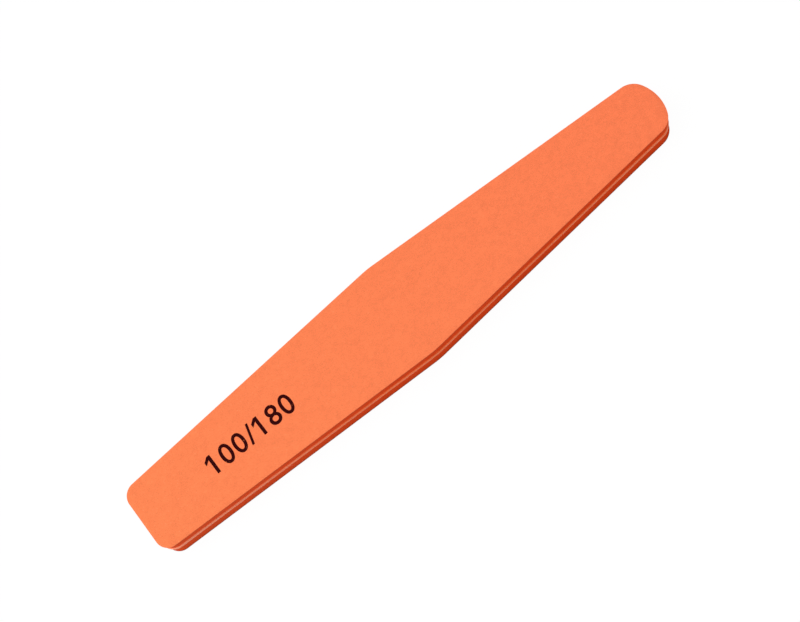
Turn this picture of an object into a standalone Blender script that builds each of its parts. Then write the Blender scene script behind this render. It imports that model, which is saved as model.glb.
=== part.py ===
"""Nail buffer: a long sponge board with one square end and one round end.

The board is a laminate, cut out with a die in one stroke and alike on both sides of its core.
From the core outwards, each side has an adhesive film, a foam cushion, a second adhesive film,
a backing paper and a coat of abrasive grit.

Metres, +Z up. The origin is under the middle of the board, on the surface that it lies on.
The square end points to -X and the round end to +X.
"""

from math import atan, atan2, cos, hypot, pi, sin, sqrt
from typing import NamedTuple

import bmesh
import bpy
import numpy as np

MM = 0.001

# Outline, as the die cuts it
LENGTH = 180 * MM
MIDDLE_STATION = 90 * MM  # from the square end to the widest place
SQUARE_END_WIDTH = 20.8 * MM  # between the side lines at the square end
MIDDLE_WIDTH = 30 * MM  # between the side lines where they meet
ROUND_END_WIDTH = 16 * MM  # between the side lines at the tip of the round end
SQUARE_CORNER_RADIUS = 4 * MM
MIDDLE_CORNER_RADIUS = 30 * MM
ROUND_END_CROWN = 3.1 * MM  # how far the end arc stands out past its corners
SHOULDER_RADIUS = 5.5 * MM  # rounds those corners into the side lines

# Thickness of each layer
CORE_THICKNESS = 1 * MM
CORE_ADHESIVE_THICKNESS = 0.1 * MM
FOAM_THICKNESS = 3.8 * MM
SHEET_ADHESIVE_THICKNESS = 0.1 * MM
PAPER_THICKNESS = 0.25 * MM
GRIT_THICKNESS = 0.15 * MM
BOND_GAP = 0.02 * MM  # between two bonded faces

# Edges that the die leaves
RIM_WIDTH = 1.2 * MM  # the abrasive sheet turns over along this width
RIM_DROP = 0.2 * MM  # and has sunk by this much where it is cut
FOAM_SHEET_SETBACK = 0.05 * MM  # foam edge behind the cut, under the abrasive sheet
FOAM_CORE_SETBACK = 0.35 * MM  # and beside the stiff core, which stands proud of it
FOAM_WAIST = 0.2 * MM  # further setback at half the foam's thickness
ADHESIVE_SETBACK = 0.03 * MM  # adhesive edge behind the edge of the foam
CORE_EDGE_RADIUS = 0.25 * MM

# Straight steps in each round stretch
SQUARE_CORNER_STEPS = 8
MIDDLE_CORNER_STEPS = 3
SHOULDER_STEPS = 6
HALF_END_ARC_STEPS = 7
RIM_STEPS = 3
WAIST_STEPS = 8
CORE_EDGE_STEPS = 3

WELD_DISTANCE = 0.001 * MM
SHARP_EDGE_ANGLE = pi / 6

# Slopes of the two side lines, and the angles that they turn through
WIDENING = (MIDDLE_WIDTH - SQUARE_END_WIDTH) / 2 / MIDDLE_STATION
NARROWING = (MIDDLE_WIDTH - ROUND_END_WIDTH) / 2 / (LENGTH - MIDDLE_STATION)
WIDENING_TURN = atan(WIDENING)
NARROWING_TURN = atan(NARROWING)


def arc(centre, radius, start, stop, steps):
    """Points along an arc, with both of its ends."""
    turns = [start + (stop - start) * i / steps for i in range(steps + 1)]
    return [(centre[0] + radius * cos(turn), centre[1] + radius * sin(turn)) for turn in turns]


def square_corner():
    """Corner between the square end and the widening side line."""
    radius = SQUARE_CORNER_RADIUS
    centre_y = SQUARE_END_WIDTH / 2 + WIDENING * radius - radius / cos(WIDENING_TURN)
    return arc((radius, centre_y), radius, pi, pi / 2 + WIDENING_TURN, SQUARE_CORNER_STEPS)


def middle_corner():
    """Blunt corner at the widest place, between the two side lines."""
    radius = MIDDLE_CORNER_RADIUS
    shift = radius * (1 / cos(WIDENING_TURN) - 1 / cos(NARROWING_TURN)) / (WIDENING + NARROWING)
    centre_y = MIDDLE_WIDTH / 2 + WIDENING * shift - radius / cos(WIDENING_TURN)
    return arc(
        (MIDDLE_STATION + shift, centre_y),
        radius,
        pi / 2 + WIDENING_TURN,
        pi / 2 - NARROWING_TURN,
        MIDDLE_CORNER_STEPS,
    )


def round_end():
    """Shoulder and end arc.

    The end arc goes through the tip and the two places where it would cut the side lines. The
    shoulder touches both the side line and the end arc, and is no larger than the half width.
    """
    cut_x = LENGTH - ROUND_END_CROWN
    cut_y = ROUND_END_WIDTH / 2 + NARROWING * ROUND_END_CROWN
    end_radius = hypot(cut_y, ROUND_END_CROWN) ** 2 / (2 * ROUND_END_CROWN)
    end_x = LENGTH - end_radius

    side_y = cut_y + NARROWING * (cut_x - end_x)
    side_distance = side_y * cos(NARROWING_TURN)
    radius = min(SHOULDER_RADIUS, side_distance)
    across = side_distance - radius
    along = sqrt((end_radius - radius) ** 2 - across**2)
    shoulder_x = along * cos(NARROWING_TURN) + across * sin(NARROWING_TURN)
    shoulder_y = across * cos(NARROWING_TURN) - along * sin(NARROWING_TURN)
    centre = (end_x + shoulder_x, shoulder_y)
    meeting = atan2(shoulder_y, shoulder_x)
    shoulder = arc(centre, radius, pi / 2 - NARROWING_TURN, meeting, SHOULDER_STEPS)
    end_arc = arc((end_x, 0), end_radius, meeting, 0, HALF_END_ARC_STEPS)
    return shoulder + end_arc[1:]


def board_outline():
    """The whole outline, centred on the origin, mirrored from its +Y half."""
    half = square_corner() + middle_corner() + round_end()
    other_half = [(x, -y) for x, y in reversed(half[:-1])]
    return [(x - LENGTH / 2, y) for x, y in half + other_half]


def poly_curve(name, points, closed):
    """A flat curve object with straight steps between its points."""
    curve = bpy.data.curves.new(name, "CURVE")
    curve.dimensions = "2D"
    spline = curve.splines.new("POLY")
    spline.points.add(len(points) - 1)
    for spline_point, (x, y) in zip(spline.points, points):
        spline_point.co = (x, y, 0, 1)
    spline.use_cyclic_u = closed
    curve_object = bpy.data.objects.new(name, curve)
    buffer.objects.link(curve_object)
    return curve_object


def layer_mesh(name, profile, material):
    """A closed solid of the board's outline, whose edge follows the profile.

    The profile is a list of (inset, height) from one face to the other.
    """
    outline = poly_curve(name + "_outline", board_outline(), closed=True)
    edge = poly_curve(name + "_edge", profile, closed=False)
    outline.data.fill_mode = "BOTH"
    outline.data.bevel_mode = "OBJECT"
    outline.data.bevel_object = edge
    depsgraph = bpy.context.evaluated_depsgraph_get()
    mesh = bpy.data.meshes.new_from_object(outline.evaluated_get(depsgraph))
    mesh.name = name
    for guide in (outline, edge):
        bpy.data.curves.remove(guide.data)

    solid = bmesh.new()
    solid.from_mesh(mesh)
    bmesh.ops.remove_doubles(solid, verts=solid.verts, dist=WELD_DISTANCE)
    bmesh.ops.recalc_face_normals(solid, faces=solid.faces)
    solid.to_mesh(mesh)
    solid.free()
    mesh.shade_smooth()
    mesh.set_sharp_from_angle(angle=SHARP_EDGE_ANGLE)
    mesh.materials.append(material)
    return mesh


def rim_profile(edge_inset):
    """Insets and drops of a face that turns over at the rim, from its flat part to its edge."""
    insets = np.linspace(RIM_WIDTH, 0, RIM_STEPS + 1)
    drops = RIM_DROP * (1 - insets / RIM_WIDTH) ** 2
    kept = insets > edge_inset
    edge_drop = np.interp(edge_inset, insets[::-1], drops[::-1])
    return list(zip(insets[kept], drops[kept])) + [(edge_inset, edge_drop)]


def sheet_profile(thickness, edge_inset):
    """A thin layer that turns over with the rim."""
    rim = rim_profile(edge_inset)
    outer = [(inset, thickness - drop) for inset, drop in rim]
    inner = [(inset, -drop) for inset, drop in reversed(rim)]
    return outer + inner


def foam_profile():
    """Foam: its outer face turns over with the rim, and its cut side is drawn in to a waist."""
    rim = rim_profile(FOAM_SHEET_SETBACK)
    face = [(inset, FOAM_THICKNESS - drop) for inset, drop in rim]
    edge_height = face[-1][1]
    side = []
    for step in range(1, WAIST_STEPS + 1):
        down = step / WAIST_STEPS
        setback = FOAM_SHEET_SETBACK + (FOAM_CORE_SETBACK - FOAM_SHEET_SETBACK) * down
        side.append((setback + FOAM_WAIST * sin(pi * down), edge_height * (1 - down)))
    return face + side


def flat_profile(thickness, edge_inset):
    """A thin layer that stays flat right up to its cut edge."""
    return [(edge_inset, thickness), (edge_inset, 0)]


def core_profile():
    """The core board, whose sheared edges are rounded, by no more than half its thickness."""
    half = CORE_THICKNESS / 2
    radius = min(CORE_EDGE_RADIUS, half)
    upper = arc((radius, half - radius), radius, pi / 2, pi, CORE_EDGE_STEPS)
    lower = [(inset, -height) for inset, height in reversed(upper)]
    return upper + lower


def srgb(red, green, blue):
    """Colour as a picture shows it, 0 to 255, to the linear values that a shader takes."""
    shares = np.array([red, green, blue]) / 255
    linear = np.where(shares > 0.04045, ((shares + 0.055) / 1.055) ** 2.4, shares / 12.92)
    return (*linear.tolist(), 1)


def make_material(name, colour, roughness):
    material = bpy.data.materials.new(name)
    material.use_nodes = True
    shader = material.node_tree.nodes["Principled BSDF"]
    shader.inputs["Base Color"].default_value = colour
    shader.inputs["Roughness"].default_value = roughness
    shader.inputs["Metallic"].default_value = 0
    material.diffuse_color = colour
    return material


class Layer(NamedTuple):
    """One bonded layer, which the board has on both sides of its core."""

    upper_name: str
    lower_name: str
    thickness: float
    profile: list
    material: bpy.types.Material


def place(name, mesh, height, turned=False):
    """Put a layer at its height above the resting surface, turned over below the core."""
    layer = bpy.data.objects.new(name, mesh)
    layer.location = (0, 0, height)
    layer.rotation_euler = (pi if turned else 0, 0, 0)
    layer.parent = board
    buffer.objects.link(layer)


for old in list(bpy.data.objects):
    bpy.data.objects.remove(old, do_unlink=True)

buffer = bpy.data.collections.new("nail_buffer")
bpy.context.scene.collection.children.link(buffer)
board = bpy.data.objects.new("board_origin", None)
buffer.objects.link(board)

core_plastic = make_material("core_plastic", srgb(240, 176, 150), 0.45)
adhesive = make_material("adhesive", srgb(226, 160, 120), 0.35)
foam_orange = make_material("foam_orange", srgb(242, 88, 40), 0.9)
paper_orange = make_material("paper_orange", srgb(228, 106, 62), 0.8)
grit_orange = make_material("grit_orange", srgb(251, 128, 82), 0.85)

# The layers of one side, from the core outwards
side_layers = [
    Layer(
        "upper_core_adhesive",
        "lower_core_adhesive",
        CORE_ADHESIVE_THICKNESS,
        flat_profile(CORE_ADHESIVE_THICKNESS, FOAM_CORE_SETBACK + ADHESIVE_SETBACK),
        adhesive,
    ),
    Layer("upper_foam", "lower_foam", FOAM_THICKNESS, foam_profile(), foam_orange),
    Layer(
        "top_adhesive_film",
        "bottom_adhesive_film",
        SHEET_ADHESIVE_THICKNESS,
        sheet_profile(SHEET_ADHESIVE_THICKNESS, FOAM_SHEET_SETBACK + ADHESIVE_SETBACK),
        adhesive,
    ),
    Layer(
        "top_backing_paper",
        "bottom_backing_paper",
        PAPER_THICKNESS,
        sheet_profile(PAPER_THICKNESS, 0),
        paper_orange,
    ),
    Layer(
        "top_grit_coat",
        "bottom_grit_coat",
        GRIT_THICKNESS,
        sheet_profile(GRIT_THICKNESS, 0),
        grit_orange,
    ),
]

side_thickness = sum(BOND_GAP + layer.thickness for layer in side_layers)
core_height = side_thickness + CORE_THICKNESS / 2
place("core_board", layer_mesh("core_board", core_profile(), core_plastic), core_height)

reach = CORE_THICKNESS / 2
for layer in side_layers:
    reach += BOND_GAP
    mesh = layer_mesh(layer.upper_name, layer.profile, layer.material)
    place(layer.upper_name, mesh, core_height + reach)
    place(layer.lower_name, mesh, core_height - reach, turned=True)
    reach += layer.thickness
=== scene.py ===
"""Looks of a nail buffer board: abrasive faces, cut foam, core edge, print, floor, light, camera.

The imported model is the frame. Metres, +Z up, the square end at -X and the round end at +X.
"""

from math import cos, pi, radians, sin

import bmesh
import bpy
import numpy as np
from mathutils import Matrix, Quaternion, Vector
from mathutils.bvhtree import BVHTree


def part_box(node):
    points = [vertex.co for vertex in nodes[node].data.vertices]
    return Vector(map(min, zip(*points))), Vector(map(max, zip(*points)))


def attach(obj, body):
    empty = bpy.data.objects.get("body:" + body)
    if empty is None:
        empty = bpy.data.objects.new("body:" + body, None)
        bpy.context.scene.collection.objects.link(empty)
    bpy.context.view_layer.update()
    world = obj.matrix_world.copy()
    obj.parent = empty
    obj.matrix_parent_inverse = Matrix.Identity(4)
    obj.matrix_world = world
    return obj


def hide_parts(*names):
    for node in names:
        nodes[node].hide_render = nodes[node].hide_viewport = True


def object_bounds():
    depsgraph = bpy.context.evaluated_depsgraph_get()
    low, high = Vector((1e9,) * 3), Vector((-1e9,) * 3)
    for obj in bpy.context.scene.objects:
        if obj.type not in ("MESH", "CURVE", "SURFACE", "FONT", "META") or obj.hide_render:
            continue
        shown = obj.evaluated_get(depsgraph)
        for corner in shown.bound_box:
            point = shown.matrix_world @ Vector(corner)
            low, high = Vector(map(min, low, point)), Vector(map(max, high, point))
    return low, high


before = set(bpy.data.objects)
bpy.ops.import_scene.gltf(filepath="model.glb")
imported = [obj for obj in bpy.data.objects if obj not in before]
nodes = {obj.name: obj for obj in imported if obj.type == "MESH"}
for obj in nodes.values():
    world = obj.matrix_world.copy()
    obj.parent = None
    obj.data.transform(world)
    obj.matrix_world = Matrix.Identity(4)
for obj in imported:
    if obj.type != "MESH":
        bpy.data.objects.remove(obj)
cad_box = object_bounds()
MM = 0.001

# Half of the board that a piece belongs to, as the way that its outer face looks along Z
UPPER = 1
LOWER = -1

# All new pieces
WELD_DISTANCE = 0.001 * MM
SHARP_ANGLE = radians(55)  # an edge that turns further than this stays sharp

# Edges that the die leaves, as the solids have them
RIM_WIDTH = 1.2 * MM
RIM_DROP = 0.2 * MM
RIM_STEPS = 6
FOAM_SHEET_SETBACK = 0.05 * MM
FOAM_CORE_SETBACK = 0.35 * MM
FOAM_WAIST = 0.2 * MM

# Outline
OUTLINE_PITCH = 0.5 * MM
CORNER_DIGITS = 8  # places in metres are rounded to these, so that equal corners are one
LONG_SIDE_RATIO = 3  # a side this many times as long as its neighbour is a straight run

# Abrasive faces
FACE_PITCH = 0.23 * MM
GRAIN_SPACING = 0.4 * MM
GRAIN_RELIEF = 0.03 * MM
GRAIN_CLEARANCE = 0.01 * MM  # from the tallest grain to the top of the box, which leaves room for ink
FACE_SEEDS = {UPPER: 3, LOWER: 4}

# Cut side of the foam
WALL_PITCH = 0.15 * MM
PORE_SPACING = 0.45 * MM
PORE_DEPTH = 0.08 * MM
WAVE_COUNTS = (9, 23)  # waves round the whole board
WAVE_DEPTH = 0.04 * MM
FADE_RINGS = 2  # over these rings, pores and waves fade out towards the neighbouring layers
FOAM_SEEDS = {UPPER: 5, LOWER: 6}

# Round domes that grains and pores are made of: least and greatest radius and height, as shares
DOME_RADIUS_SHARES = (0.55, 0.9)
DOME_HEIGHT_SHARES = (0.4, 1.0)

# Print: plain grit numbers, which read from the square end
NUMBERS = "100/180"
NUMBER_HEIGHT = 6.0 * MM
NUMBERS_LENGTH = 29 * MM
NUMBERS_FROM_SQUARE_END = 37.5 * MM  # to their middle
NUMBER_SPACING_SHARE = 1.12
STROKE_GROWTH_SHARE = 0.012

# Typeface, in its own units, which hold until the numbers get their real size
GLYPH_CURVE_STEPS = 12
GLYPH_WELD = 0.0001
GLYPH_STRAIGHT_ANGLE = radians(1)
FLAG_ROOT = 0.14  # where the flag of a 1 leaves its stem, from the top down
FLAG_REACH = Vector((-0.17, -0.13, 0))

# Ink
INK_PITCH = 0.1 * MM
INK_LIFT = 0.008 * MM
INK_DEPTH = 0.02 * MM

# Colours as a picture shows them, 0 to 255. A dye has them by share of the length, from the square end;
# its paler square end is partly painted light.
GRIT_DYE_AND_LIGHT = {0.0: (250, 130, 79), 1.0: (251, 124, 78)}
GRIT_CUT_EDGE = (206, 84, 44)
GRIT_GLINT = (255, 190, 146)
FOAM_DYE_AND_LIGHT = {0.0: (252, 91, 43), 0.4: (251, 82, 30), 0.75: (250, 78, 23)}
# Painted shade deep inside open foam cells
FOAM_PAINTED_CELL_SHADE = (176, 44, 14)
PAPER_CUT_EDGE = (214, 88, 46)
ADHESIVE_CUT_EDGE = (196, 88, 48)
CORE_DYE_AND_LIGHT = {0.0: (254, 152, 112), 0.35: (254, 124, 64), 0.75: (254, 120, 54), 1.0: (252, 132, 80)}
INK = (50, 5, 7)
GRIT_BETWEEN_INK = (214, 92, 52)

# Granular effect
CLOUD_SCALE = 0.7  # clouds to a grain
CLOUD_DETAIL = 3.0
CLOUD_SHARE = 0.5  # of the height, of which the grains make the rest
GRAIN_TOP_RADIUS = 0.1  # in grain sizes, as the next is
GRAIN_FOOT_RADIUS = 0.8
FLECK_SOFTNESS = 0.08  # of a fleck's border, on the scale of rarity
USUAL_RARITY = 0.82  # from 0, flecks all over, to 1, none

# Painted shade on the cut side of the board, darker towards the floor that it lies on: heights and
# shades at its foot and where the painted shade ends
PAINTED_FOOT_SHADE_HEIGHTS = (0.2 * MM, 2.4 * MM)
PAINTED_FOOT_SHADE_VALUES = (0.72, 1.03)

# How far a normal points up or down, on the cut edge of the grit and on its face
GRIT_EDGE_FACING = 0.3
GRIT_FACE_FACING = 0.8

# Colour sockets of a Mix node, which share their names with its other sockets
MIX_FIRST = 6
MIX_SECOND = 7
MIX_RESULT = 2

# Camera, as the photograph was taken
CAMERA_AIM = Vector((-0.310, -0.359, 10.06)) * MM
CAMERA_DISTANCE = 411.24 * MM
CAMERA_AZIMUTH = radians(0.128)
CAMERA_ELEVATION = radians(71.612)
CAMERA_ROLL = radians(-39.817)
CAMERA_LENS = 68.884  # millimetres, as the next is
CAMERA_SENSOR = 36
CAMERA_NEAREST = 0.01
CAMERA_FARTHEST = 100

# Studio
WHITE = (1, 1, 1, 1)  # as a shader takes it
FLOOR_HALF_SIZE = 3.0
FLOOR_PAINT = 0.42
FLOOR_WHITE_SHARE = 0.9
FLOOR_WHITE_STRENGTH = 1.07
WORLD_STRENGTH = 0.68
WORLD_WHITE_STRENGTH = 1.0
LAMP_SIZE = 0.8
LAMP_POWER = 6.65  # watts
LAMP_PLACE = Vector((-0.55, 0.12, 1.0))


# Outline


def corner_line():
    """Corners of the outline that the die cut, anticlockwise, read from the edge of the core."""
    low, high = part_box("core_board")
    places = np.array([vertex.co for vertex in nodes["core_board"].data.vertices])
    upper = places[places[:, 2] > (low.z + high.z) / 2]
    wall_top = upper[upper[:, 2] < upper[:, 2].min() + WELD_DISTANCE]
    corners = np.unique(wall_top[:, :2].round(CORNER_DIGITS), axis=0)
    return corners[np.argsort(np.arctan2(corners[:, 1], corners[:, 0]))]


def smooth_line(corners, pitch):
    """Points about a pitch apart on a smooth closed line through the corners, a cubic for each side.

    Where a short side meets a long straight one, the line keeps the direction of the long one.
    """
    sides = np.roll(corners, -1, axis=0) - corners
    lengths = np.linalg.norm(sides, axis=1)
    directions = sides / lengths[:, None]
    before = np.roll(directions, 1, axis=0)
    length_before = np.roll(lengths, 1)
    long_after = (lengths > LONG_SIDE_RATIO * length_before)[:, None]
    long_before = (length_before > LONG_SIDE_RATIO * lengths)[:, None]
    headings = np.where(long_after, directions, before + directions)
    headings = np.where(long_before, before, headings)
    headings /= np.linalg.norm(headings, axis=1)[:, None]

    points = []
    for index in range(len(corners)):
        following = (index + 1) % len(corners)
        shares = np.arange(0, 1, 1 / max(1, round(lengths[index] / pitch)))[:, None]
        start_pull = (1 - shares) ** 2 * shares * lengths[index] * headings[index]
        end_pull = (1 - shares) * shares**2 * lengths[index] * headings[following]
        blend = shares**2 * (3 - 2 * shares)
        straight = (1 - blend) * corners[index] + blend * corners[following]
        points.append(straight + start_pull - end_pull)
    return np.vstack(points)


def inward_of(line):
    """Direction into the board at each point of the line."""
    ahead = np.roll(line, -1, axis=0) - np.roll(line, 1, axis=0)
    inward = np.column_stack([-ahead[:, 1], ahead[:, 0]])
    return inward / np.linalg.norm(inward, axis=1)[:, None]


def inset_of(places, corners):
    """Distance of each place from the nearest side of the outline, which bulges everywhere."""
    sides = np.roll(corners, -1, axis=0) - corners
    inward = np.column_stack([-sides[:, 1], sides[:, 0]])
    inward /= np.linalg.norm(inward, axis=1)[:, None]
    return (places @ inward.T - (corners * inward).sum(axis=1)).min(axis=1)


def rim_drop(inset):
    """How far a face has turned over at this distance from the cut."""
    return RIM_DROP * (1 - np.clip(inset / RIM_WIDTH, 0, 1)) ** 2


# Surface relief


def domes(places, spacing, seed):
    """Height at each place, from 0 to 1, of scattered round domes about a spacing apart."""
    cells = np.floor(places / spacing).astype(int)
    first_cell = cells.min(axis=0) - 1
    extent = cells.max(axis=0) - first_cell + 2

    # Each cell has one dome: its place in the cell, its radius and its height, all from 0 to 1
    scatter = np.random.default_rng(seed).random((*extent, 4))
    height = np.zeros(len(places))
    for step in np.ndindex(3, 3):
        cell = cells + step - 1
        dome = scatter[tuple((cell - first_cell).T)]
        centre = (cell + dome[:, :2]) * spacing
        radius = spacing * np.interp(dome[:, 2], (0, 1), DOME_RADIUS_SHARES)
        top = np.interp(dome[:, 3], (0, 1), DOME_HEIGHT_SHARES)
        away = np.linalg.norm(places - centre, axis=1) / radius
        height = np.maximum(height, top * np.sqrt(np.clip(1 - away**2, 0, 1)))
    return height


def grit_surface(places, face, side):
    """Height at each place of a face of grains, which turns over at the rim."""
    sunk = GRAIN_CLEARANCE + GRAIN_RELIEF * (1 - domes(places, GRAIN_SPACING, FACE_SEEDS[side]))
    return face - side * (rim_drop(inset_of(places, corners)) + sunk)


# Mesh steps


def ring_stack(line, profile):
    """A closed solid whose rings follow the line, each at its inset and height."""
    solid = bmesh.new()
    station = solid.verts.layers.int.new("station")
    level = solid.verts.layers.int.new("level")

    # All rings lie on one circle at first
    bmesh.ops.create_circle(solid, cap_ends=True, segments=len(line), radius=1)
    for index, vertex in enumerate(solid.verts):
        vertex[station] = index
    for step in range(1, len(profile)):
        border = [edge for edge in solid.edges if edge.is_boundary]
        grown = bmesh.ops.extrude_edge_only(solid, edges=border)["geom"]
        for part in grown:
            if isinstance(part, bmesh.types.BMVert):
                part[level] = step
    bmesh.ops.holes_fill(solid, edges=[edge for edge in solid.edges if edge.is_boundary])

    inward = inward_of(line)
    for vertex in solid.verts:
        inset, height = profile[vertex[level]]
        x, y = line[vertex[station]] + inward[vertex[station]] * inset
        vertex.co = (x, y, height)
    return solid


def cut_across(solid, faces, axis, pitch):
    """Cut the faces by planes a pitch apart, and give back all their parts."""
    normal = Vector((0, 0, 0))
    normal[axis] = 1
    reach = [vertex.co[axis] for face in faces for vertex in face.verts]
    finished_faces = []
    ahead = faces
    for index in range(int(min(reach) // pitch) + 1, int(max(reach) // pitch) + 1):
        geometry = {part for face in ahead for part in (face, *face.edges, *face.verts)}
        cut = bmesh.ops.bisect_plane(
            solid,
            geom=list(geometry),
            dist=WELD_DISTANCE,
            plane_co=normal * index * pitch,
            plane_no=normal,
        )
        parts = [part for part in cut["geom"] if isinstance(part, bmesh.types.BMFace)]
        beyond = [part.calc_center_median()[axis] > index * pitch for part in parts]
        finished_faces += [part for part, is_beyond in zip(parts, beyond) if not is_beyond]
        ahead = [part for part, is_beyond in zip(parts, beyond) if is_beyond]
    return finished_faces + ahead


def cut_into_squares(solid, faces, pitch):
    """Cut the faces across X and across Y, and give back all their parts."""
    for axis in (0, 1):
        faces = cut_across(solid, faces, axis, pitch)
    return faces


def finish_piece(name, solid, material):
    """A mesh object from the bmesh, faces outwards, smooth but for its sharp edges."""
    bmesh.ops.recalc_face_normals(solid, faces=solid.faces)
    mesh = bpy.data.meshes.new(name)
    solid.to_mesh(mesh)
    solid.free()
    mesh.shade_smooth()
    mesh.set_sharp_from_angle(angle=SHARP_ANGLE)
    mesh.materials.append(material)
    piece = bpy.data.objects.new(name, mesh)
    bpy.context.scene.collection.objects.link(piece)
    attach(piece, "root")
    return piece


# Pieces


def abrasive_face(name, node, side, material):
    """A coat of grit: a grainy face that turns over at the rim, a cut edge and a plain back."""
    low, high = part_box(node)
    face = high.z if side > 0 else low.z
    thickness = high.z - low.z - RIM_DROP
    insets = np.linspace(0, RIM_WIDTH, RIM_STEPS + 1)
    profile = [(0, face)]
    profile += [(inset, face - side * (thickness + rim_drop(inset))) for inset in insets]
    solid = ring_stack(smooth_line(corners, OUTLINE_PITCH), profile)

    level = solid.verts.layers.int["level"]
    cap = [part for part in solid.faces if all(vertex[level] == 0 for vertex in part.verts)]
    face_parts = cut_into_squares(solid, cap, FACE_PITCH)
    face_points = list({vertex for part in face_parts for vertex in part.verts})
    places = np.array([vertex.co.xy for vertex in face_points])
    for vertex, height in zip(face_points, grit_surface(places, face, side)):
        vertex.co.z = height
    piece = finish_piece(name, solid, material)
    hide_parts(node)
    return piece


def foam_cushion(name, node, side, material):
    """A foam cushion whose cut side is drawn in to a waist, wavy, and pitted with open cells."""
    low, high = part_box(node)
    outer, inner = (high.z, low.z) if side > 0 else (low.z, high.z)
    insets = np.linspace(RIM_WIDTH, FOAM_SHEET_SETBACK, RIM_STEPS + 1)
    profile = [(inset, outer - side * rim_drop(inset)) for inset in insets]
    edge = profile[-1][1]
    wall_height = abs(edge - inner)
    wall_steps = int(wall_height / WALL_PITCH)
    for step in range(1, wall_steps + 1):
        share = step / wall_steps
        setback = FOAM_SHEET_SETBACK + (FOAM_CORE_SETBACK - FOAM_SHEET_SETBACK) * share
        profile.append((setback + FOAM_WAIST * sin(pi * share), edge + (inner - edge) * share))
    line = smooth_line(corners, WALL_PITCH)
    solid = ring_stack(line, profile)

    wall = [vertex for vertex in solid.verts if abs(vertex.co.z - inner) < wall_height - WELD_DISTANCE]
    station = solid.verts.layers.int["station"]
    stations = np.array([vertex[station] for vertex in wall])
    heights = np.array([vertex.co.z for vertex in wall])
    seed = FOAM_SEEDS[side]
    pores = domes(np.column_stack([stations * WALL_PITCH, heights]), PORE_SPACING, seed)
    turns = stations / len(line) * 2 * pi
    waves = sum(1 + np.sin(count * turns + seed) for count in WAVE_COUNTS) / 2 / len(WAVE_COUNTS)
    from_layers = np.minimum(np.abs(heights - inner), np.abs(edge - heights))
    fade = np.clip(from_layers / (FADE_RINGS * WALL_PITCH), 0, 1)
    sunk = (PORE_DEPTH * pores + WAVE_DEPTH * waves) * fade
    inward = inward_of(line)
    for vertex, point, depth in zip(wall, stations, sunk):
        vertex.co.xy += Vector(inward[point] * depth)
    piece = finish_piece(name, solid, material)
    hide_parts(node)


def add_flags(solid):
    """Give each figure 1, which the typeface draws as a plain bar, a flag at its top left."""
    bars = []
    for face in solid.faces:
        runs = [(edge.verts[0].co - edge.verts[1].co).xy for edge in face.edges]
        if len(runs) == 4 and all(min(abs(run.x), abs(run.y)) < GLYPH_WELD for run in runs):
            bars.append(face)
    for bar in bars:
        left = min(bar.edges, key=lambda edge: max(vertex.co.x for vertex in edge.verts))
        root = max(vertex.co.y for vertex in left.verts) - FLAG_ROOT
        parts = bmesh.ops.bisect_plane(
            solid,
            geom=[left, *left.verts],
            plane_co=(0, root, 0),
            plane_no=(0, 1, 0),
        )["geom"]
        edges = [part for part in parts if isinstance(part, bmesh.types.BMEdge)]
        upper = max(edges, key=lambda edge: min(vertex.co.y for vertex in edge.verts))
        flag = bmesh.ops.extrude_edge_only(solid, edges=[upper])["geom"]
        tip = [part for part in flag if isinstance(part, bmesh.types.BMVert)]
        bmesh.ops.translate(solid, vec=FLAG_REACH, verts=tip)


def number_shapes():
    """The numbers as flat faces of their real size, at their place on the board."""
    text = bpy.data.curves.new("grit_numbers", "FONT")
    text.body = NUMBERS
    text.align_x = "CENTER"
    text.align_y = "CENTER"
    text.space_character = NUMBER_SPACING_SHARE
    text.offset = STROKE_GROWTH_SHARE
    text.resolution_u = GLYPH_CURVE_STEPS
    text_object = bpy.data.objects.new("grit_numbers", text)
    bpy.context.scene.collection.objects.link(text_object)
    depsgraph = bpy.context.evaluated_depsgraph_get()
    mesh = bpy.data.meshes.new_from_object(text_object.evaluated_get(depsgraph))
    bpy.data.curves.remove(text)

    solid = bmesh.new()
    solid.from_mesh(mesh)
    bpy.data.meshes.remove(mesh)
    bmesh.ops.remove_doubles(solid, verts=solid.verts, dist=GLYPH_WELD)
    bmesh.ops.dissolve_limit(
        solid,
        angle_limit=GLYPH_STRAIGHT_ANGLE,
        verts=solid.verts,
        edges=solid.edges,
    )
    add_flags(solid)
    outline = np.array([vertex.co.xy for vertex in solid.verts])
    middle = (outline.min(axis=0) + outline.max(axis=0)) / 2
    width, height = np.ptp(outline, axis=0)
    scale = Vector((NUMBERS_LENGTH / width, NUMBER_HEIGHT / height, 1))
    square_end = cad_box[0].x
    bmesh.ops.translate(solid, vec=(*-middle, 0), verts=solid.verts)
    bmesh.ops.scale(solid, vec=scale, verts=solid.verts)
    bmesh.ops.translate(solid, vec=(square_end + NUMBERS_FROM_SQUARE_END, 0, 0), verts=solid.verts)
    return solid


def grit_numbers(face, material):
    """Printed numbers that lie over the grains of the face."""
    solid = number_shapes()
    cut_into_squares(solid, list(solid.faces), INK_PITCH)
    grains = BVHTree.FromPolygons(
        [vertex.co for vertex in face.data.vertices],
        [polygon.vertices for polygon in face.data.polygons],
    )
    above = cad_box[1].z * 2
    for vertex in solid.verts:
        hit, *_ = grains.ray_cast(Vector((*vertex.co.xy, above)), Vector((0, 0, -1)))
        vertex.co.z = hit.z + INK_LIFT
    below = bmesh.ops.extrude_face_region(solid, geom=list(solid.faces), use_keep_orig=True)["geom"]
    lower = [part for part in below if isinstance(part, bmesh.types.BMVert)]
    bmesh.ops.translate(solid, vec=(0, 0, -INK_DEPTH), verts=lower)
    finish_piece("grit_numbers", solid, material)


# Shader steps


def srgb(colour):
    """A picture's colour, 0 to 255, in a shader's linear values, by the formula of the sRGB standard."""
    shares = np.array(colour) / 255
    linear = np.where(shares > 0.04045, ((shares + 0.055) / 1.055) ** 2.4, shares / 12.92)
    return (*linear.tolist(), 1)


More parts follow.
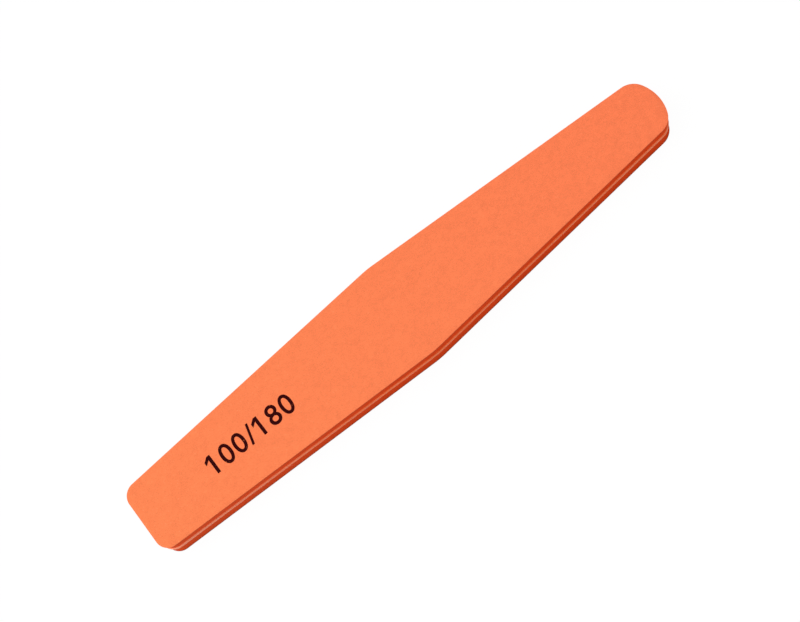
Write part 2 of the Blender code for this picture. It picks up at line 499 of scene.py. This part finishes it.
def add(tree, kind, inputs=None, **settings):
    """A shader node with its settings, and its inputs as values or as outputs of other nodes."""
    node = tree.nodes.new("ShaderNode" + kind)
    for setting, value in settings.items():
        setattr(node, setting, value)
    for socket, value in (inputs or {}).items():
        if isinstance(value, bpy.types.NodeSocket):
            tree.links.new(value, node.inputs[socket])
        else:
            node.inputs[socket].default_value = value
    return node


def calculate(tree, operation, *values):
    """The output of a Math node with these values."""
    return add(tree, "Math", dict(enumerate(values)), operation=operation).outputs["Value"]


def spread(tree, value, low, high, start=0.0, stop=1.0):
    """The value, which runs from start to stop, stretched to run from low to high."""
    inputs = {"Value": value, "From Min": start, "From Max": stop, "To Min": low, "To Max": high}
    return add(tree, "MapRange", inputs).outputs["Result"]


def weakened(tree, mask, strength):
    """The mask, which reaches only this strength."""
    return calculate(tree, "MULTIPLY", mask, strength)


def blend_colours(tree, share, first, second):
    """The first colour where the share is 0, the second where it is 1."""
    inputs = {"Factor": share, MIX_FIRST: first, MIX_SECOND: second}
    return add(tree, "Mix", inputs, data_type="RGBA").outputs[MIX_RESULT]


def shaded(tree, colour, *shades):
    """The colour, made lighter and darker by each shade."""
    for shade in shades:
        colour = add(tree, "HueSaturation", {"Color": colour, "Value": shade}).outputs["Color"]
    return colour


def place_on(tree, axis):
    """Where a point lies along X, Y or Z."""
    place = add(tree, "TexCoord").outputs["Object"]
    return add(tree, "SeparateXYZ", {"Vector": place}).outputs[axis]


def dyed_and_lit_along(tree, dye_and_light):
    """Colour that changes along the board, as the dye says, with a paler square end that is partly
    painted light.
    """
    share = spread(tree, place_on(tree, "X"), low=0.0, high=1.0, start=cad_box[0].x, stop=cad_box[1].x)
    ramp = add(tree, "ValToRGB", {"Fac": share})
    elements = ramp.color_ramp.elements
    while len(elements) < len(dye_and_light):
        elements.new(0.5)  # the next loop moves it to its place
    for element, (position, colour) in zip(elements, dye_and_light.items()):
        element.position = position
        element.color = srgb(colour)
    return ramp.outputs["Color"]


def new_group(name, inputs, outputs):
    """A node group with these inputs, each of its kind, and these outputs, and its sockets inside."""
    group = bpy.data.node_groups.new(name, "ShaderNodeTree")
    for socket, kind in inputs.items():
        group.interface.new_socket(socket, in_out="INPUT", socket_type="NodeSocket" + kind)
    for socket in outputs:
        group.interface.new_socket(socket, in_out="OUTPUT", socket_type="NodeSocketFloat")
    given = group.nodes.new("NodeGroupInput").outputs
    returned = group.nodes.new("NodeGroupOutput").inputs
    return group, given, returned


def painted_foot_shade_group():
    """Painted shade at the foot of the cut side, darker towards the floor: a shade that grows lighter up
    to where it ends.
    """
    inputs = dict.fromkeys(["Foot Height", "Unshaded Height", "Foot Shade", "Unshaded Value"], "Float")
    group, given, returned = new_group("painted_foot_shade", inputs, ["Shade"])
    shade = spread(
        group,
        place_on(group, "Z"),
        low=given["Foot Shade"],
        high=given["Unshaded Value"],
        start=given["Foot Height"],
        stop=given["Unshaded Height"],
    )
    group.links.new(shade, returned["Shade"])
    return group


def painted_foot_shade_on(tree, heights=PAINTED_FOOT_SHADE_HEIGHTS, shades=PAINTED_FOOT_SHADE_VALUES):
    """The painted shade at the foot of the cut side, from its group, placed in a material with its own
    values.
    """
    inputs = {
        "Foot Height": heights[0],
        "Unshaded Height": heights[1],
        "Foot Shade": shades[0],
        "Unshaded Value": shades[1],
    }
    return add(tree, "Group", inputs, node_tree=painted_foot_shade).outputs["Shade"]


def granular_group():
    """Grains of a given size: a shade about 1, a height from 0 to 1, and a mask of rare flecks."""
    inputs = {"Size": "Float", "Contrast": "Float", "Rarity": "Float", "Stretch": "Vector"}
    group, given, returned = new_group("granular", inputs, ["Shade", "Height", "Flecks"])
    place = add(group, "TexCoord").outputs["Object"]
    per_metre = calculate(group, "DIVIDE", 1.0, given["Size"])
    scaled = add(group, "VectorMath", {0: place, "Scale": per_metre}, operation="SCALE")
    stretch = {0: scaled.outputs["Vector"], 1: given["Stretch"]}
    place = add(group, "VectorMath", stretch, operation="MULTIPLY").outputs["Vector"]
    noise = {"Vector": place, "Scale": CLOUD_SCALE, "Detail": CLOUD_DETAIL}
    cloud = add(group, "TexNoise", noise).outputs["Fac"]
    grains = add(group, "TexVoronoi", {"Vector": place, "Scale": 1.0}, feature="SMOOTH_F1").outputs
    tone = add(group, "SeparateColor", {"Color": grains["Color"]}).outputs["Red"]
    grain_height = spread(
        group,
        grains["Distance"],
        low=1.0,
        high=0.0,
        start=GRAIN_TOP_RADIUS,
        stop=GRAIN_FOOT_RADIUS,
    )

    off_middle = calculate(group, "SUBTRACT", calculate(group, "ADD", tone, cloud), 1.0)
    shade = calculate(group, "MULTIPLY_ADD", off_middle, given["Contrast"], 1.0)
    from_grains = weakened(group, grain_height, 1 - CLOUD_SHARE)
    height = calculate(group, "MULTIPLY_ADD", cloud, CLOUD_SHARE, from_grains)
    brightest = calculate(group, "MULTIPLY", tone, grain_height)
    full = calculate(group, "ADD", given["Rarity"], FLECK_SOFTNESS)
    flecks = spread(group, brightest, low=0.0, high=1.0, start=given["Rarity"], stop=full)
    group.links.new(shade, returned["Shade"])
    group.links.new(height, returned["Height"])
    group.links.new(flecks, returned["Flecks"])
    return group


def grains_of(tree, size, contrast, rarity=USUAL_RARITY, stretch=(1, 1, 1)):
    """The outputs of the granular group, placed in a material with its own values."""
    inputs = {"Size": size, "Contrast": contrast, "Rarity": rarity, "Stretch": stretch}
    return add(tree, "Group", inputs, node_tree=granular).outputs


def new_material(name, specular):
    """A material, its node tree and its Principled shader."""
    material = bpy.data.materials.new(name)
    material.use_nodes = True
    shader = material.node_tree.nodes["Principled BSDF"]
    shader.inputs["Specular IOR Level"].default_value = specular
    return material, material.node_tree, shader


def connect(tree, shader, colour, roughness, height, relief):
    """Feed the shader its colour, its roughness, and a bump that stands out by the relief."""
    bump = add(tree, "Bump", {"Height": height, "Distance": relief, "Strength": 1.0})
    tree.links.new(colour, shader.inputs["Base Color"])
    tree.links.new(roughness, shader.inputs["Roughness"])
    tree.links.new(bump.outputs["Normal"], shader.inputs["Normal"])


# Materials


def grit_material():
    """Dyed resin full of abrasive grains: speckled, matte, redder at its cut edge, with painted shade
    between the grains.
    """
    material, tree, shader = new_material("abrasive_grit", specular=0.2)
    normal = add(tree, "TexCoord").outputs["Normal"]
    upwards = add(tree, "SeparateXYZ", {"Vector": normal}).outputs["Z"]
    facing = calculate(tree, "ABSOLUTE", upwards)
    on_edge = spread(tree, facing, low=1.0, high=0.0, start=GRIT_EDGE_FACING, stop=GRIT_FACE_FACING)
    # Painted shade: the cut edge darkens towards the floor
    edge = shaded(tree, srgb(GRIT_CUT_EDGE), painted_foot_shade_on(tree))
    # Painted light in part: the grit grows paler towards the square end
    dye_and_light = blend_colours(tree, on_edge, dyed_and_lit_along(tree, GRIT_DYE_AND_LIGHT), edge)
    mottle = grains_of(tree, size=1.4 * MM, contrast=0.07)
    coarse = grains_of(tree, size=0.45 * MM, contrast=0.05)
    fine = grains_of(tree, size=0.12 * MM, contrast=0.18, rarity=0.74)
    # Painted shade: darker in the gaps between grains and lighter on their tops, as light would fall on
    # them
    painted_crevice_shade = spread(tree, fine["Height"], low=0.88, high=1.07, start=0.25, stop=0.7)
    colour = shaded(tree, dye_and_light, mottle["Shade"], coarse["Shade"], fine["Shade"], painted_crevice_shade)
    glints = calculate(tree, "MAXIMUM", coarse["Flecks"], fine["Flecks"])
    glints = weakened(tree, glints, strength=0.4)
    colour = blend_colours(tree, glints, colour, srgb(GRIT_GLINT))
    roughness = spread(tree, fine["Height"], low=0.95, high=0.7)
    connect(tree, shader, colour, roughness, fine["Height"], relief=0.06 * MM)
    return material


def foam_material():
    """Closed-cell foam: red-orange, with painted shade inside the cells that the cut opened."""
    material, tree, shader = new_material("cut_foam", specular=0.08)
    # Painted light in part: the foam grows paler towards the square end
    dye_and_light = dyed_and_lit_along(tree, FOAM_DYE_AND_LIGHT)
    cells = grains_of(tree, size=0.26 * MM, contrast=0.14, rarity=0.62)
    cloud = grains_of(tree, size=2.5 * MM, contrast=0.06)
    # Painted shade: the middles of the cells, which the bump makes into cups, are darker
    painted_cup_shade = spread(tree, cells["Height"], low=1.08, high=0.93, stop=0.6)
    # Painted shade at the foot of the side: the foam darkens towards the floor
    colour = shaded(tree, dye_and_light, painted_cup_shade, cells["Shade"], cloud["Shade"], painted_foot_shade_on(tree))
    # Painted shade: a dark colour deep in some of the open cells
    painted_cell_shade = weakened(tree, cells["Flecks"], strength=0.6)
    colour = blend_colours(tree, painted_cell_shade, colour, srgb(FOAM_PAINTED_CELL_SHADE))
    roughness = spread(tree, cells["Height"], low=0.75, high=0.95)
    cups = calculate(tree, "SUBTRACT", 1.0, cells["Height"])
    connect(tree, shader, colour, roughness, cups, relief=0.08 * MM)
    return material


def paper_material():
    """Cut edge of a dyed paper, with fibres that lie along it."""
    material, tree, shader = new_material("backing_paper", specular=0.2)
    fibres = grains_of(tree, size=0.06 * MM, contrast=0.16, stretch=(0.15, 0.15, 1))
    # Painted shade: the paper's cut edge darkens towards the floor
    colour = shaded(tree, srgb(PAPER_CUT_EDGE), fibres["Shade"], painted_foot_shade_on(tree))
    roughness = spread(tree, fibres["Height"], low=0.75, high=0.95)
    connect(tree, shader, colour, roughness, fibres["Height"], relief=0.02 * MM)
    return material


def adhesive_material():
    """Thin tacky film between the layers, with a little dust at its edge."""
    material, tree, shader = new_material("adhesive_film", specular=0.4)
    dust = grains_of(tree, size=0.2 * MM, contrast=0.1)
    # Painted shade: the film's cut edge darkens towards the floor
    colour = shaded(tree, srgb(ADHESIVE_CUT_EDGE), dust["Shade"], painted_foot_shade_on(tree))
    roughness = spread(tree, dust["Height"], low=0.3, high=0.65)
    connect(tree, shader, colour, roughness, dust["Height"], relief=0.01 * MM)
    return material


def core_material():
    """Stiff plastic strip: a pale cut edge, palest at the ends, with painted light in part at the square
    end, and shear marks across it.
    """
    material, tree, shader = new_material("core_plastic", specular=0.4)
    shear = grains_of(tree, size=0.12 * MM, contrast=0.1, stretch=(1, 1, 0.12))
    cloud = grains_of(tree, size=6 * MM, contrast=0.05)
    # Painted light in part: the core's edge is palest at the square end
    colour = shaded(tree, dyed_and_lit_along(tree, CORE_DYE_AND_LIGHT), shear["Shade"], cloud["Shade"])
    roughness = spread(tree, shear["Height"], low=0.35, high=0.6)
    connect(tree, shader, colour, roughness, shear["Height"], relief=0.02 * MM)
    return material


def ink_material():
    """Maroon-black ink on the grains, with a few bare pinholes."""
    material, tree, shader = new_material("printing_ink", specular=0.02)
    fine = grains_of(tree, size=0.15 * MM, contrast=0.25)
    pinholes = grains_of(tree, size=0.22 * MM, contrast=0.1)
    colour = shaded(tree, srgb(INK), fine["Shade"])
    bare = weakened(tree, pinholes["Flecks"], strength=0.4)
    colour = blend_colours(tree, bare, colour, srgb(GRIT_BETWEEN_INK))
    roughness = spread(tree, fine["Height"], low=0.75, high=0.5)
    connect(tree, shader, colour, roughness, fine["Height"], relief=0.02 * MM)
    return material


# Studio


def seen_directly(tree):
    """1 for the rays that show a background: from the camera, in a reflection or through glass."""
    rays = add(tree, "LightPath").outputs
    seen = calculate(tree, "MAXIMUM", rays["Is Camera Ray"], rays["Is Glossy Ray"])
    return calculate(tree, "MAXIMUM", seen, rays["Is Transmission Ray"])


def studio_floor():
    """Pale floor that shows as white, with a faint shadow."""
    material = bpy.data.materials.new("floor_white")
    material.use_nodes = True
    tree = material.node_tree
    tree.nodes.clear()
    paint = add(tree, "BsdfDiffuse", {"Color": (FLOOR_PAINT, FLOOR_PAINT, FLOOR_PAINT, 1)})
    glow = add(tree, "Emission", {"Color": WHITE, "Strength": FLOOR_WHITE_STRENGTH})
    share = weakened(tree, seen_directly(tree), FLOOR_WHITE_SHARE)
    shaders = {"Fac": share, 1: paint.outputs["BSDF"], 2: glow.outputs["Emission"]}
    surface = add(tree, "MixShader", shaders)
    add(tree, "OutputMaterial", {"Surface": surface.outputs["Shader"]})

    solid = bmesh.new()
    bmesh.ops.create_grid(solid, x_segments=1, y_segments=1, size=FLOOR_HALF_SIZE)
    mesh = bpy.data.meshes.new("floor")
    solid.to_mesh(mesh)
    solid.free()
    mesh.materials.append(material)
    floor = bpy.data.objects.new("floor", mesh)
    bpy.context.scene.collection.objects.link(floor)


def studio_light():
    """A large soft lamp above the square end, and an even world that shows as white."""
    world = bpy.data.worlds.new("studio")
    world.use_nodes = True
    tree = world.node_tree
    tree.nodes.clear()
    strength = spread(tree, seen_directly(tree), low=WORLD_STRENGTH, high=WORLD_WHITE_STRENGTH)
    background = add(tree, "Background", {"Color": WHITE, "Strength": strength})
    add(tree, "OutputWorld", {"Surface": background.outputs["Background"]})
    bpy.context.scene.world = world

    lamp = bpy.data.lights.new("overhead", "AREA")
    lamp.shape = "SQUARE"
    lamp.size = LAMP_SIZE
    lamp.energy = LAMP_POWER
    lamp_object = bpy.data.objects.new("overhead", lamp)
    bpy.context.scene.collection.objects.link(lamp_object)
    lamp_object.location = LAMP_PLACE
    lamp_object.rotation_mode = "QUATERNION"
    lamp_object.rotation_quaternion = LAMP_PLACE.to_track_quat("Z", "Y")


def studio_camera():
    """The camera at the photograph's place, which looks down on the board and is rolled."""
    camera = bpy.data.cameras.new("camera")
    camera.lens = CAMERA_LENS
    camera.sensor_width = CAMERA_SENSOR
    camera.sensor_fit = "HORIZONTAL"
    camera.clip_start = CAMERA_NEAREST
    camera.clip_end = CAMERA_FARTHEST
    camera_object = bpy.data.objects.new("camera", camera)
    bpy.context.scene.collection.objects.link(camera_object)
    back = Vector((
        sin(CAMERA_AZIMUTH) * cos(CAMERA_ELEVATION),
        -cos(CAMERA_AZIMUTH) * cos(CAMERA_ELEVATION),
        sin(CAMERA_ELEVATION),
    ))
    level = back.to_track_quat("Z", "Y")
    camera_object.rotation_mode = "QUATERNION"
    camera_object.rotation_quaternion = level @ Quaternion((0, 0, 1), CAMERA_ROLL)
    camera_object.location = CAMERA_AIM + back * CAMERA_DISTANCE
    bpy.context.scene.camera = camera_object


studio_camera()
studio_floor()
studio_light()

# The outline, which the layers follow, and the effects that materials share
corners = corner_line()
granular = granular_group()
# Painted shade towards the floor, which the cut sides share
painted_foot_shade = painted_foot_shade_group()

grit = grit_material()
foam = foam_material()
paper = paper_material()
adhesive = adhesive_material()
top_face = abrasive_face("top_abrasive", "top_grit_coat", UPPER, grit)
abrasive_face("bottom_abrasive", "bottom_grit_coat", LOWER, grit)
foam_cushion("upper_foam_cushion", "upper_foam", UPPER, foam)
foam_cushion("lower_foam_cushion", "lower_foam", LOWER, foam)
grit_numbers(top_face, ink_material())

# Finishes of the solids that stay
finishes = {
    "top_backing_paper": paper,
    "bottom_backing_paper": paper,
    "top_adhesive_film": adhesive,
    "upper_core_adhesive": adhesive,
    "lower_core_adhesive": adhesive,
    "bottom_adhesive_film": adhesive,
    "core_board": core_material(),
}
for node, material in finishes.items():
    nodes[node].material_slots[0].material = material

bpy.context.scene.view_settings.view_transform = "Standard"
